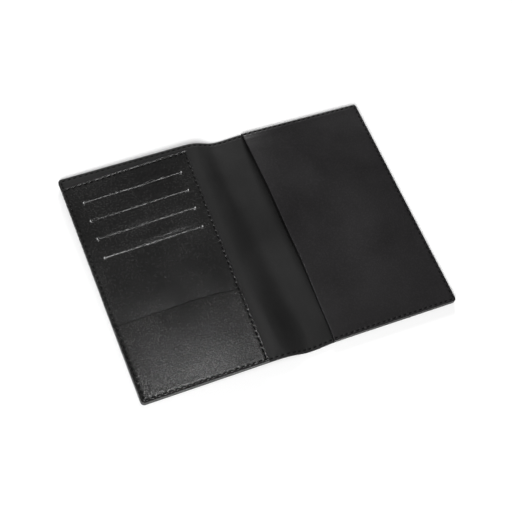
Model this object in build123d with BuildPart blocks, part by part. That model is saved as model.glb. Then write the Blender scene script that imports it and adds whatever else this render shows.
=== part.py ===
from build123d import *
import math
import os

os.makedirs("parts", exist_ok=True)

# A leather passport holder lying open on a table, inside up.
# Frame: origin under the centre of the open holder on the table,
# +X from the card side to the passport side, +Y to the top edge, +Z up.
# Lengths in millimetres.

# ---------------------------------------------------------------- sizes
HEIGHT = 140.0          # top edge to bottom edge
HALF_WIDTH = 94.3       # centre to each outer edge, lying open
COVER_T = 0.9           # outer leather
LINING_T = 0.6          # inner lining
POCKET_T = 0.6          # room between lining and panel, set by the turned hems
PANEL_T = 0.7           # card panel and passport sleeve leather
LOWER_HEM_T = 0.2       # turned hem under the lower pocket
CORNER_R = 2.0          # outer corners
FRONT_LEAN = 2.5        # degrees the card side rises towards the spine
CREST_X = -16.0         # where the card side starts to curl over
CREST_R = 10.0
SLOPE = 20.0            # degrees, crest down to the spine valley
VALLEY_R = 12.0
FOLD_X = 5.0            # the two fold lines stand this far each side of centre
FOLD_GAP = 0.3          # half the slit between leather segments at a fold line
SEAM_INSET = 1.6        # stitch line to the edge
STITCH_L, STITCH_W, STITCH_T = 2.3, 0.55, 0.26
STITCH_PITCH = 3.3
GROOVE_W, GROOVE_D = 1.0, 0.35   # sunk line for the outside stitches

PANEL_IN_X = -20.6      # card panel, edge beside the spine
PANEL_TOP_Y = 64.2      # card panel, open mouth
PANEL_HEM = 3.4         # turned hem width
SLOT_X0, SLOT_X1 = -85.3, -27.8
SLOT_Y = (52.1, 40.1, 28.1, 16.1)
SLOT_W = 0.5
CARD_DEPTH = 78.0       # how far a card drops below its slot
LINER_T = 0.10
LOWER_TOP_Y = -24.8     # mouth of the lower pocket
SLEEVE_IN_X = 18.3      # free edge of the passport sleeve
SLEEVE_HEM = 3.4
BOARD_T = 0.4           # stiffener board, let into the cover's inner face

D_LINING = COVER_T                    # lining's underside above the cover's underside
D_INSIDE = COVER_T + LINING_T         # lining's face
D_PANEL = D_INSIDE + POCKET_T         # panel's underside
D_TOP = D_PANEL + PANEL_T             # panel's face
D_LOWER = D_TOP + LOWER_HEM_T         # lower pocket's underside
D_LOWER_TOP = D_LOWER + PANEL_T       # lower pocket's face

# ------------------------------------------------- the cover's cross-section
# Underside line, seen from the bottom edge: a straight lean up from the outer
# edge, a crest, a slope, a valley that meets the table, then flat.
a, s = math.radians(FRONT_LEAN), math.radians(SLOPE)
X0 = -HALF_WIDTH + D_LOWER_TOP * math.sin(a)
P0 = (X0, 0.0)
P1 = (CREST_X, (CREST_X - X0) * math.tan(a))
C1 = (P1[0] + CREST_R * math.sin(a), P1[1] - CREST_R * math.cos(a))
P2 = (C1[0] + CREST_R * math.sin(s), C1[1] + CREST_R * math.cos(s))
z3 = VALLEY_R * (1 - math.cos(s))
L_SLOPE = (P2[1] - z3) / math.sin(s)
P3 = (P2[0] + L_SLOPE * math.cos(s), z3)
P4 = (P3[0] + VALLEY_R * math.sin(s), 0.0)
C2 = (P4[0], VALLEY_R)
P5 = (HALF_WIDTH, 0.0)
LEN = [
    (P1[0] - P0[0]) / math.cos(a),
    CREST_R * (a + s),
    L_SLOPE,
    VALLEY_R * s,
    P5[0] - P4[0],
]


def station(run):
    """Point and heading on the underside line, run mm from the outer edge."""
    if run <= LEN[0]:
        return P0[0] + run * math.cos(a), P0[1] + run * math.sin(a), a
    run -= LEN[0]
    if run <= LEN[1]:
        h = a - run / CREST_R
        return C1[0] - CREST_R * math.sin(h), C1[1] + CREST_R * math.cos(h), h
    run -= LEN[1]
    if run <= LEN[2]:
        return P2[0] + run * math.cos(s), P2[1] - run * math.sin(s), -s
    run -= LEN[2]
    if run <= LEN[3]:
        h = -s + run / VALLEY_R
        return C2[0] + VALLEY_R * math.sin(h), C2[1] - VALLEY_R * math.cos(h), h
    return P4[0] + run - LEN[3], 0.0, 0.0


def lifted(run, d):
    x, z, h = station(run)
    return x - d * math.sin(h), z + d * math.cos(h), h


def run_at(x, d):
    """Distance from the outer edge at which the line lifted by d stands at x."""
    lo, hi = 0.0, sum(LEN)
    for _ in range(60):
        mid = (lo + hi) / 2
        if lifted(mid, d)[0] < x:
            lo = mid
        else:
            hi = mid
    return (lo + hi) / 2


def band(d0, d1):
    """Edges of the cross-section between two heights above the underside line."""
    def at(p, h, d):
        return p[0] - d * math.sin(h), p[1] + d * math.cos(h)

    def mid(c, r, h):
        return c[0] - r * math.sin(h), c[1] + r * math.cos(h)

    for d in (d0, d1):
        q = [at(P0, a, d), at(P1, a, d), at(P2, -s, d), at(P3, -s, d), at(P4, 0, d), at(P5, 0, d)]
        Line(q[0], q[1])
        ThreePointArc(q[1], mid(C1, CREST_R + d, (a - s) / 2), q[2])
        Line(q[2], q[3])
        hm = -s / 2
        ThreePointArc(
            q[3],
            (C2[0] + (VALLEY_R - d) * math.sin(hm), C2[1] - (VALLEY_R - d) * math.cos(hm)),
            q[4],
        )
        Line(q[4], q[5])
    Line(at(P0, a, d0), at(P0, a, d1))
    Line(at(P5, 0, d0), at(P5, 0, d1))


def leaf_plane(d):
    """The card side's plane at height d above its underside.
    Its local x starts at the outer edge, its local y is the object's Y."""
    return Plane(
        origin=(P0[0] - d * math.sin(a), 0, P0[1] + d * math.cos(a)),
        x_dir=(math.cos(a), 0, math.sin(a)),
        z_dir=(-math.sin(a), 0, math.cos(a)),
    )


def u_at(x, d):
    """Local x on leaf_plane(d) of the point that stands at object X."""
    return (x - P0[0] + d * math.sin(a)) / math.cos(a)


CUT_L = Plane.YZ.offset(-FOLD_X)
FRONT_END = Plane.YZ.offset(-FOLD_X - FOLD_GAP)
SPINE_L = Plane.YZ.offset(-FOLD_X + FOLD_GAP)
SPINE_R = Plane.YZ.offset(FOLD_X - FOLD_GAP)
BACK_END = Plane.YZ.offset(FOLD_X + FOLD_GAP)

# sunk stitch line on the underside: centre line this far from the edges
GROOVE_Y = HEIGHT / 2 - SEAM_INSET
# stiffener boards
BOARD_Y = HEIGHT - 12.0
FRONT_BOARD = (5.0, u_at(-20.0, COVER_T - BOARD_T))    # local x, start and end
BACK_BOARD = (12.0, HALF_WIDTH - 5.0)

# ---------------------------------------------------------------- outer cover
with BuildPart() as outer_cover_front:
    with BuildSketch(Plane.XZ):
        with BuildLine():
            band(0, COVER_T)
        make_face()
    extrude(amount=HEIGHT / 2, both=True)
    split(bisect_by=FRONT_END, keep=Keep.BOTTOM)
    outer = outer_cover_front.edges().filter_by(lambda e: e.length < COVER_T * 1.1).group_by(Axis.X)[0]
    fillet(outer, CORNER_R)
    # sunk stitch lines, top and bottom, following the cross-section
    with BuildSketch(Plane.XZ.offset(GROOVE_Y)):
        with BuildLine():
            band(0, GROOVE_D)
        make_face()
    extrude(amount=GROOVE_W / 2, both=True, mode=Mode.SUBTRACT)
    with BuildSketch(Plane.XZ.offset(-GROOVE_Y)):
        with BuildLine():
            band(0, GROOVE_D)
        make_face()
    extrude(amount=GROOVE_W / 2, both=True, mode=Mode.SUBTRACT)
    # along the outer edge
    with BuildSketch(leaf_plane(0)):
        with Locations((SEAM_INSET, 0)):
            Rectangle(GROOVE_W, 2 * GROOVE_Y)
    extrude(amount=GROOVE_D, mode=Mode.SUBTRACT)
    # shallow bed for the stiffener board
    with BuildSketch(leaf_plane(COVER_T)):
        with Locations(((FRONT_BOARD[0] + FRONT_BOARD[1]) / 2, 0)):
            RectangleRounded(FRONT_BOARD[1] - FRONT_BOARD[0], BOARD_Y, 3)
    extrude(amount=-BOARD_T, mode=Mode.SUBTRACT)
outer_cover_front.part.label = "outer_cover_front"

with BuildPart() as outer_cover_spine:
    with BuildSketch(Plane.XZ):
        with BuildLine():
            band(0, COVER_T)
        make_face()
    extrude(amount=HEIGHT / 2, both=True)
    split(bisect_by=SPINE_L, keep=Keep.TOP)
    split(bisect_by=SPINE_R, keep=Keep.BOTTOM)
    with BuildSketch(Plane.XZ.offset(GROOVE_Y)):
        with BuildLine():
            band(0, GROOVE_D)
        make_face()
    extrude(amount=GROOVE_W / 2, both=True, mode=Mode.SUBTRACT)
    with BuildSketch(Plane.XZ.offset(-GROOVE_Y)):
        with BuildLine():
            band(0, GROOVE_D)
        make_face()
    extrude(amount=GROOVE_W / 2, both=True, mode=Mode.SUBTRACT)
outer_cover_spine.part.label = "outer_cover_spine"

with BuildPart() as outer_cover_back:
    with BuildSketch(Plane.XY):
        with Locations(((FOLD_X + FOLD_GAP + HALF_WIDTH) / 2, 0)):
            Rectangle(HALF_WIDTH - FOLD_X - FOLD_GAP, HEIGHT)
    extrude(amount=COVER_T)
    outer = outer_cover_back.edges().filter_by(Axis.Z).group_by(Axis.X)[-1]
    fillet(outer, CORNER_R)
    with BuildSketch(Plane.XY):
        with Locations((HALF_WIDTH / 2, GROOVE_Y), (HALF_WIDTH / 2, -GROOVE_Y)):
            Rectangle(HALF_WIDTH - 2 * SEAM_INSET + GROOVE_W, GROOVE_W)
        with Locations((HALF_WIDTH - SEAM_INSET, 0)):
            Rectangle(GROOVE_W, 2 * GROOVE_Y)
    extrude(amount=GROOVE_D, mode=Mode.SUBTRACT)
    with BuildSketch(Plane.XY.offset(COVER_T)):
        with Locations(((BACK_BOARD[0] + BACK_BOARD[1]) / 2, 0)):
            RectangleRounded(BACK_BOARD[1] - BACK_BOARD[0], BOARD_Y, 3)
    extrude(amount=-BOARD_T, mode=Mode.SUBTRACT)
outer_cover_back.part.label = "outer_cover_back"

# ---------------------------------------------------------------- lining
with BuildPart() as lining_front:
    with BuildSketch(Plane.XZ):
        with BuildLine():
            band(D_LINING, D_INSIDE)
        make_face()
    extrude(amount=HEIGHT / 2, both=True)
    split(bisect_by=FRONT_END, keep=Keep.BOTTOM)
    outer = lining_front.edges().filter_by(lambda e: e.length < LINING_T * 1.1).group_by(Axis.X)[0]
    fillet(outer, CORNER_R)
lining_front.part.label = "lining_front"

with BuildPart() as lining_spine:
    with BuildSketch(Plane.XZ):
        with BuildLine():
            band(D_LINING, D_INSIDE)
        make_face()
    extrude(amount=HEIGHT / 2, both=True)
    split(bisect_by=SPINE_L, keep=Keep.TOP)
    split(bisect_by=SPINE_R, keep=Keep.BOTTOM)
lining_spine.part.label = "lining_spine"

with BuildPart() as lining_back:
    with BuildSketch(Plane.XY.offset(D_LINING)):
        with Locations(((FOLD_X + FOLD_GAP + HALF_WIDTH) / 2, 0)):
            Rectangle(HALF_WIDTH - FOLD_X - FOLD_GAP, HEIGHT)
    extrude(amount=LINING_T)
    outer = lining_back.edges().filter_by(Axis.Z).group_by(Axis.X)[-1]
    fillet(outer, CORNER_R)
lining_back.part.label = "lining_back"

# ---------------------------------------------------------------- stiffener boards
with BuildPart() as stiffener_front:
    with BuildSketch(leaf_plane(COVER_T - BOARD_T)):
        with Locations(((FRONT_BOARD[0] + FRONT_BOARD[1]) / 2, 0)):
            RectangleRounded(FRONT_BOARD[1] - FRONT_BOARD[0] - 0.4, BOARD_Y - 0.4, 2.8)
    extrude(amount=BOARD_T)
stiffener_front.part.label = "stiffener_front"

with BuildPart() as stiffener_back:
    with BuildSketch(Plane.XY.offset(COVER_T - BOARD_T)):
        with Locations(((BACK_BOARD[0] + BACK_BOARD[1]) / 2, 0)):
            RectangleRounded(BACK_BOARD[1] - BACK_BOARD[0] - 0.4, BOARD_Y - 0.4, 2.8)
    extrude(amount=BOARD_T)
stiffener_back.part.label = "stiffener_back"

# ---------------------------------------------------------------- card panel
# One leather panel with four card slots, its sides and foot turned under and
# sewn down. Its top edge is left open, so the panel is a full-length pocket.
U_IN = u_at(PANEL_IN_X, D_PANEL)
SLOT_U0, SLOT_U1 = u_at(SLOT_X0, D_TOP), u_at(SLOT_X1, D_TOP)
SLOT_MID, SLOT_LEN = (SLOT_U0 + SLOT_U1) / 2, SLOT_U1 - SLOT_U0
PANEL_Y0, PANEL_Y1 = -HEIGHT / 2, PANEL_TOP_Y

with BuildPart() as card_panel:
    with BuildSketch(leaf_plane(D_INSIDE)):
        with Locations((U_IN / 2, (PANEL_Y0 + PANEL_Y1) / 2)):
            Rectangle(U_IN, PANEL_Y1 - PANEL_Y0)
    extrude(amount=POCKET_T + PANEL_T)
    # the pocket's hollow, open at the top
    with BuildSketch(leaf_plane(D_INSIDE)):
        with Locations((U_IN / 2, (PANEL_Y0 + PANEL_HEM + PANEL_Y1 + 1) / 2)):
            Rectangle(U_IN - 2 * PANEL_HEM, PANEL_Y1 + 1 - PANEL_Y0 - PANEL_HEM)
    extrude(amount=POCKET_T, mode=Mode.SUBTRACT)
    # card slots
    with BuildSketch(leaf_plane(D_PANEL)):
        with Locations(*[(SLOT_MID, y) for y in SLOT_Y]):
            SlotOverall(SLOT_LEN, SLOT_W)
    extrude(amount=PANEL_T, mode=Mode.SUBTRACT)
    foot = card_panel.edges().filter_by(lambda e: abs(e.length - POCKET_T - PANEL_T) < 0.01)
    fillet([e for e in foot if e.center().X < X0 + 1 and e.center().Y < -HEIGHT / 2 + 1], CORNER_R)
card_panel.part.label = "card_panel"

# ---------------------------------------------------------------- card liners
# Thin cloth sheets behind the slots, one under the next; each is glued to the
# panel in a narrow line just above its slot and hangs to the card's depth.
LINER_U0, LINER_U1 = PANEL_HEM + 0.3, U_IN - PANEL_HEM - 0.3
LINER_MID, LINER_LEN = (LINER_U0 + LINER_U1) / 2, LINER_U1 - LINER_U0


def liner_level(k):
    return D_INSIDE + 0.02 + 0.15 * (k - 1)


with BuildPart() as card_liner_1:
    Y1 = SLOT_Y[0] + 2.0
    Y0 = SLOT_Y[0] - CARD_DEPTH
    with BuildSketch(leaf_plane(liner_level(1))):
        with Locations((LINER_MID, (Y0 + Y1) / 2)):
            Rectangle(LINER_LEN, Y1 - Y0)
    extrude(amount=LINER_T)
    with BuildSketch(leaf_plane(liner_level(1))):
        with Locations((LINER_MID, Y1 - 0.6)):
            Rectangle(LINER_LEN, 1.2)
    extrude(amount=D_PANEL - liner_level(1))
card_liner_1.part.label = "card_liner_1"

with BuildPart() as card_liner_2:
    Y1 = SLOT_Y[1] + 2.0
    Y0 = SLOT_Y[1] - CARD_DEPTH
    with BuildSketch(leaf_plane(liner_level(2))):
        with Locations((LINER_MID, (Y0 + Y1) / 2)):
            Rectangle(LINER_LEN, Y1 - Y0)
    extrude(amount=LINER_T)
    with BuildSketch(leaf_plane(liner_level(2))):
        with Locations((LINER_MID, Y1 - 0.6)):
            Rectangle(LINER_LEN, 1.2)
    extrude(amount=D_PANEL - liner_level(2))
card_liner_2.part.label = "card_liner_2"

with BuildPart() as card_liner_3:
    Y1 = SLOT_Y[2] + 2.0
    Y0 = SLOT_Y[2] - CARD_DEPTH
    with BuildSketch(leaf_plane(liner_level(3))):
        with Locations((LINER_MID, (Y0 + Y1) / 2)):
            Rectangle(LINER_LEN, Y1 - Y0)
    extrude(amount=LINER_T)
    with BuildSketch(leaf_plane(liner_level(3))):
        with Locations((LINER_MID, Y1 - 0.6)):
            Rectangle(LINER_LEN, 1.2)
    extrude(amount=D_PANEL - liner_level(3))
card_liner_3.part.label = "card_liner_3"

with BuildPart() as card_liner_4:
    Y1 = SLOT_Y[3] + 2.0
    Y0 = SLOT_Y[3] - CARD_DEPTH
    with BuildSketch(leaf_plane(liner_level(4))):
        with Locations((LINER_MID, (Y0 + Y1) / 2)):
            Rectangle(LINER_LEN, Y1 - Y0)
    extrude(amount=LINER_T)
    with BuildSketch(leaf_plane(liner_level(4))):
        with Locations((LINER_MID, Y1 - 0.6)):
            Rectangle(LINER_LEN, 1.2)
    extrude(amount=D_PANEL - liner_level(4))
card_liner_4.part.label = "card_liner_4"

# ---------------------------------------------------------------- lower pocket
# A second panel over the foot of the card panel, open at its top edge.
with BuildPart() as lower_pocket:
    with BuildSketch(leaf_plane(D_TOP)):
        with Locations((U_IN / 2, (PANEL_Y0 + LOWER_TOP_Y) / 2)):
            Rectangle(U_IN, LOWER_TOP_Y - PANEL_Y0)
    extrude(amount=LOWER_HEM_T + PANEL_T)
    with BuildSketch(leaf_plane(D_TOP)):
        with Locations((U_IN / 2, (PANEL_Y0 + PANEL_HEM + LOWER_TOP_Y + 1) / 2)):
            Rectangle(U_IN - 2 * PANEL_HEM, LOWER_TOP_Y + 1 - PANEL_Y0 - PANEL_HEM)
    extrude(amount=LOWER_HEM_T, mode=Mode.SUBTRACT)
    foot = lower_pocket.edges().filter_by(lambda e: abs(e.length - LOWER_HEM_T - PANEL_T) < 0.01)
    fillet([e for e in foot if e.center().X < X0 + 1 and e.center().Y < -HEIGHT / 2 + 1], CORNER_R)
lower_pocket.part.label = "lower_pocket"

# ---------------------------------------------------------------- passport sleeve
# A leather panel sewn on three sides; a passport's back cover slides in from
# the spine side, between the sleeve and the lining.
with BuildPart() as passport_sleeve:
    with BuildSketch(Plane.XY.offset(D_INSIDE)):
        with Locations(((SLEEVE_IN_X + HALF_WIDTH) / 2, 0)):
            Rectangle(HALF_WIDTH - SLEEVE_IN_X, HEIGHT)
    extrude(amount=POCKET_T + PANEL_T)
    outer = passport_sleeve.edges().filter_by(Axis.Z).group_by(Axis.X)[-1]
    fillet(outer, CORNER_R)
    with BuildSketch(Plane.XY.offset(D_INSIDE)):
        with Locations(((SLEEVE_IN_X - 1 + HALF_WIDTH - SLEEVE_HEM) / 2, 0)):
            Rectangle(HALF_WIDTH - SLEEVE_HEM - SLEEVE_IN_X + 1, HEIGHT - 2 * SLEEVE_HEM)
    extrude(amount=POCKET_T, mode=Mode.SUBTRACT)
passport_sleeve.part.label = "passport_sleeve"

# ---------------------------------------------------------------- stitching
# Every visible stitch is a short flat bar lying on the leather.


def spread(lo, hi):
    """Centres of stitches that fill the run between two ends."""
    n = max(1, round((hi - lo + STITCH_PITCH - STITCH_L) / STITCH_PITCH))
    step = (hi - lo - STITCH_L) / max(1, n - 1)
    return [lo + STITCH_L / 2 + i * step for i in range(n)]


def along_x(x_lo, x_hi, y, d, lift=0.0):
    """Stitches along the cross-section at one y, lying on height d."""
    out = []
    r0, r1 = run_at(x_lo, d), run_at(x_hi, d)
    for r in spread(r0, r1):
        x, z, h = lifted(r, d + lift + STITCH_T / 2)
        out.append(Plane(origin=(x, y, z), x_dir=(math.cos(h), 0, math.sin(h)),
                         z_dir=(-math.sin(h), 0, math.cos(h))))
    return out


def along_y(x, y_lo, y_hi, d, lift=0.0):
    """Stitches along Y at one x, lying on height d."""
    x, z, h = lifted(run_at(x, d), d + lift + STITCH_T / 2)
    return [Plane(origin=(x, y, z), x_dir=(0, 1, 0), z_dir=(-math.sin(h), 0, math.cos(h)))
            for y in spread(y_lo, y_hi)]


SEAM_Y = HEIGHT / 2 - SEAM_INSET
EDGE_L = -HALF_WIDTH + SEAM_INSET + 0.1
EDGE_R = HALF_WIDTH - SEAM_INSET
CLEAR = 0.5                                  # stitch end to a crossing seam or an edge
IN_SEAM_X = PANEL_IN_X - 1.3                 # the seam beside the spine
HEM_SEAM_Y = PANEL_TOP_Y - 1.3               # the hem seam of the open mouth

with BuildPart() as stitching_inside_front:
    with Locations(
        *along_x(EDGE_L + CLEAR, -FOLD_X - 0.7, SEAM_Y, D_INSIDE, 0.03),
        *along_x(EDGE_L + CLEAR, PANEL_IN_X - 0.4, -SEAM_Y, D_LOWER_TOP),
        *along_x(PANEL_IN_X + 0.5, -FOLD_X - 0.7, -SEAM_Y, D_INSIDE, 0.03),
        *along_y(EDGE_L, -SEAM_Y + CLEAR, LOWER_TOP_Y - 0.4, D_LOWER_TOP),
        *along_y(EDGE_L, LOWER_TOP_Y + 0.4, PANEL_TOP_Y - 0.4, D_TOP),
        *along_y(EDGE_L, PANEL_TOP_Y + 0.4, SEAM_Y - CLEAR, D_INSIDE),
    ):
        Box(STITCH_L, STITCH_W, STITCH_T)
stitching_inside_front.part.label = "stitching_inside_front"

with BuildPart() as stitching_inside_spine:
    with Locations(
        *along_x(-FOLD_X + 0.7, FOLD_X - 0.7, SEAM_Y, D_INSIDE, 0.06),
        *along_x(-FOLD_X + 0.7, FOLD_X - 0.7, -SEAM_Y, D_INSIDE, 0.06),
    ):
        Box(STITCH_L, STITCH_W, STITCH_T)
stitching_inside_spine.part.label = "stitching_inside_spine"

with BuildPart() as stitching_inside_back:
    with Locations(
        *along_x(FOLD_X + 0.7, SLEEVE_IN_X - 0.4, SEAM_Y, D_INSIDE),
        *along_x(FOLD_X + 0.7, SLEEVE_IN_X - 0.4, -SEAM_Y, D_INSIDE),
        *along_x(SLEEVE_IN_X + 0.4, EDGE_R - CLEAR, SEAM_Y, D_TOP),
        *along_x(SLEEVE_IN_X + 0.4, EDGE_R - CLEAR, -SEAM_Y, D_TOP),
        *along_y(EDGE_R, -SEAM_Y + CLEAR, SEAM_Y - CLEAR, D_TOP),
    ):
        Box(STITCH_L, STITCH_W, STITCH_T)
stitching_inside_back.part.label = "stitching_inside_back"

# outside stitches, sunk in their line on the underside
with BuildPart() as stitching_outside_front:
    with Locations(
        *along_x(EDGE_L + CLEAR, -FOLD_X - 0.7, SEAM_Y, 0.02),
        *along_x(EDGE_L + CLEAR, -FOLD_X - 0.7, -SEAM_Y, 0.02),
        *along_y(EDGE_L, -SEAM_Y + CLEAR, SEAM_Y - CLEAR, 0.02),
    ):
        Box(STITCH_L, STITCH_W, STITCH_T)
stitching_outside_front.part.label = "stitching_outside_front"

with BuildPart() as stitching_outside_spine:
    with Locations(
        *along_x(-FOLD_X + 0.7, FOLD_X - 0.7, SEAM_Y, 0.04),
        *along_x(-FOLD_X + 0.7, FOLD_X - 0.7, -SEAM_Y, 0.04),
    ):
        Box(STITCH_L, STITCH_W, 0.24)
stitching_outside_spine.part.label = "stitching_outside_spine"

with BuildPart() as stitching_outside_back:
    with Locations(
        *along_x(FOLD_X + 0.7, EDGE_R - CLEAR, SEAM_Y, 0.02),
        *along_x(FOLD_X + 0.7, EDGE_R - CLEAR, -SEAM_Y, 0.02),
        *along_y(EDGE_R, -SEAM_Y + CLEAR, SEAM_Y - CLEAR, 0.02),
    ):
        Box(STITCH_L, STITCH_W, STITCH_T)
stitching_outside_back.part.label = "stitching_outside_back"

# the card panel's own seams: beside the spine, and along the open mouth's hem
with BuildPart() as stitching_card_panel:
    with Locations(
        *along_y(IN_SEAM_X, LOWER_TOP_Y + 0.4, PANEL_TOP_Y - 0.5, D_TOP),
        *along_y(IN_SEAM_X, -SEAM_Y + CLEAR, LOWER_TOP_Y - 0.4, D_LOWER_TOP),
        *along_x(EDGE_L + 0.6, IN_SEAM_X - 0.6, HEM_SEAM_Y, D_TOP),
    ):
        Box(STITCH_L, STITCH_W, STITCH_T)
stitching_card_panel.part.label = "stitching_card_panel"

# a short bar of thread across each end of each card slot
with BuildPart() as slot_end_tacks:
    with Locations(
        *[Plane(leaf_plane(D_TOP + 0.14).from_local_coords((u, y, 0)),
                x_dir=leaf_plane(0).x_dir, z_dir=leaf_plane(0).z_dir)
          for y in SLOT_Y for u in (SLOT_U0 - 0.4, SLOT_U1 + 0.4)]
    ):
        Box(0.55, 1.5, 0.28)
slot_end_tacks.part.label = "slot_end_tacks"

# ---------------------------------------------------------------- export
PIECES = [
    (outer_cover_front, "outer_cover_front"),
    (outer_cover_spine, "outer_cover_spine"),
    (outer_cover_back, "outer_cover_back"),
    (lining_front, "lining_front"),
    (lining_spine, "lining_spine"),
    (lining_back, "lining_back"),
    (stiffener_front, "stiffener_front"),
    (stiffener_back, "stiffener_back"),
    (card_panel, "card_panel"),
    (card_liner_1, "card_liner_1"),
    (card_liner_2, "card_liner_2"),
    (card_liner_3, "card_liner_3"),
    (card_liner_4, "card_liner_4"),
    (lower_pocket, "lower_pocket"),
    (passport_sleeve, "passport_sleeve"),
    (stitching_inside_front, "stitching_inside_front"),
    (stitching_inside_spine, "stitching_inside_spine"),
    (stitching_inside_back, "stitching_inside_back"),
    (stitching_outside_front, "stitching_outside_front"),
    (stitching_outside_spine, "stitching_outside_spine"),
    (stitching_outside_back, "stitching_outside_back"),
    (stitching_card_panel, "stitching_card_panel"),
    (slot_end_tacks, "slot_end_tacks"),
]
for piece, name in PIECES:
    export_step(piece.part, f"parts/{name}.step")

print("fold axis heights:", D_INSIDE, lifted(run_at(-FOLD_X, D_INSIDE), D_INSIDE))
print("profile:", P0, P1, P2, P3, P4, P5)
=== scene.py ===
import bpy, math
import numpy as np
from mathutils import Matrix, Vector


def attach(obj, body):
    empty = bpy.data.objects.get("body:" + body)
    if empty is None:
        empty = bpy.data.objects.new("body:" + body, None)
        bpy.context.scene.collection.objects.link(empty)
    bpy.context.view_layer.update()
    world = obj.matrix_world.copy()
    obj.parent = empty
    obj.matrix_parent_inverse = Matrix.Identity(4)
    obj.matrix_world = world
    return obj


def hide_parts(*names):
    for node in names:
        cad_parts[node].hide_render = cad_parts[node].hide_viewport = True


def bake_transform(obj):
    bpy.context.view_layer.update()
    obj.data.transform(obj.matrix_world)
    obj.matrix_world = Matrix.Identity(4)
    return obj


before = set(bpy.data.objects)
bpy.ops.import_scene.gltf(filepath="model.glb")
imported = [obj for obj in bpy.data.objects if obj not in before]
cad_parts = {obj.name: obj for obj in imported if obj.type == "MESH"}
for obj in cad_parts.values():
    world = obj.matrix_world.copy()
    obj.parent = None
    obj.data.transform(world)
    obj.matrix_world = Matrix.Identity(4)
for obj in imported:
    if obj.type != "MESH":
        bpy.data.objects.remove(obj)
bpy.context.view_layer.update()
rng = np.random.default_rng(11)

# ------------------------------------------------------------------ camera
F_PX = 1097.8
cam_data = bpy.data.cameras.new("camera")
cam_data.sensor_width = 36.0
cam_data.lens = F_PX * 36.0 / 512.0
cam_data.clip_start = 0.01
camera = bpy.data.objects.new("camera", cam_data)
bpy.context.scene.collection.objects.link(camera)
view = np.array([[0.912035, -0.378456, 0.157998],
                 [-0.27163, -0.846079, -0.458658],
                 [0.30726, 0.375395, -0.874454]])
camera.matrix_world = Matrix((
    (view[0][0], -view[1][0], -view[2][0], -0.19317),
    (view[0][1], -view[1][1], -view[2][1], -0.23874),
    (view[0][2], -view[1][2], -view[2][2], 0.53872),
    (0, 0, 0, 1)))
bpy.context.scene.camera = camera
bpy.context.scene.view_settings.view_transform = "Standard"

# ------------------------------------------------------------------ the holder's surface, in mm
# A place on the holder is (r, y, d): r along the cover's cross-section from the
# card side's outer edge, y up the page, d above the cover's outer face.
HALF_H, HALF_W = 70.0, 94.3
LEAN = math.radians(2.5)
CREST_X = -16.0
D_COVER, D_LINING, D_PANEL, D_TOP, D_LOW, D_LOWTOP = 0.9, 1.5, 2.1, 2.8, 3.0, 3.7
X0 = -HALF_W + D_LOWTOP * math.sin(LEAN)
R_LIST = np.linspace(-8.0, 200.0, 4161)
R_BEND0, R_STEEP, R_BEND1 = 75.5, 88.0, 99.0


def smooth(t):
    t = np.clip(t, 0, 1)
    return t * t * (3 - 2 * t)


# heading of the section: up the card side's lean, over the crest, down to the flat side
_steep = (R_BEND0 * math.sin(LEAN) + LEAN * (R_STEEP - R_BEND0) / 2) / ((R_BEND1 - R_BEND0) / 2)
H_LIST = np.where(R_LIST < R_STEEP,
                  LEAN - (LEAN + _steep) * smooth((R_LIST - R_BEND0) / (R_STEEP - R_BEND0)),
                  -_steep * (1 - smooth((R_LIST - R_STEEP) / (R_BEND1 - R_STEEP))))
_dr = R_LIST[1] - R_LIST[0]
X_LIST = np.concatenate([[0], np.cumsum(np.cos((H_LIST[1:] + H_LIST[:-1]) / 2) * _dr)])
Z_LIST = np.concatenate([[0], np.cumsum(np.sin((H_LIST[1:] + H_LIST[:-1]) / 2) * _dr)])
R_END = 189.0375
X_LIST = X_LIST - np.interp(R_END, R_LIST, X_LIST) + HALF_W
Z_LIST = Z_LIST - Z_LIST[-1]
R_MID = float(np.interp(0.0, X_LIST, R_LIST))
X0 = -HALF_W + D_LOWTOP * math.sin(LEAN)


def section(r):
    """x, z and heading of the cover's outer face, r mm along it."""
    r = np.asarray(r, float)
    return np.interp(r, R_LIST, X_LIST), np.interp(r, R_LIST, Z_LIST), np.interp(r, R_LIST, H_LIST)


def squeeze(r, y):
    """The perimeter seam presses the layers together."""
    e = np.minimum(np.minimum(r, R_END - r), HALF_H - np.abs(y))
    return 1 - 0.10 * (1 - smooth(e / 1.6))


def place(r, y, d):
    """Object coordinates in metres of places on the holder."""
    r, y, d = np.broadcast_arrays(np.asarray(r, float), np.asarray(y, float), np.asarray(d, float))
    x, z, h = section(r)
    dd = d * squeeze(r, y)
    px, pz = x - dd * np.sin(h), z + dd * np.cos(h)
    ramp = np.clip((px - X0) / (CREST_X - X0), 0, 1)
    g = np.where(px < CREST_X, ramp, 1 - smooth((px - CREST_X) / 14.0))
    corner = np.clip(1 - (px - X0) / (CREST_X - X0), 0, 1)
    # the card side stands a little askew, as stitched leather does
    pz = pz + 1.3 * (y / 70.0) * g + 1.6 * smooth((y + 70) / 140.0) * corner
    py = y - 1.0 * np.exp(-(((px - 2) / 11.0) ** 2))
    return np.stack([px, py, pz], -1) * 0.001


# ------------------------------------------------------------------ stitches
STITCH_L, PITCH, INSET = 2.15, 3.3, 1.6
SEAM_Y = HALF_H - INSET


def spread(lo, hi):
    n = max(2, round((hi - lo + PITCH - STITCH_L) / PITCH))
    step = (hi - lo - STITCH_L) / (n - 1)
    return lo + STITCH_L / 2 + np.arange(n) * step


# the card panel is sewn on a little askew: its own coordinates (p, q)
PANEL_W = 73.7
PANEL_Q0, PANEL_Q1 = -70.0, 64.2
SLOTS = (52.1, 40.05, 28.25, 16.05)
SLOT_P0, SLOT_P1 = 9.1, 66.2
LOWER_Q = -24.6


def panel_r(p, q):
    return p * (1 + 0.00037 * q)


def panel_y(p, q):
    return q + 0.00026 * (q + 70.0) * (p - 37.0)


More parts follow.
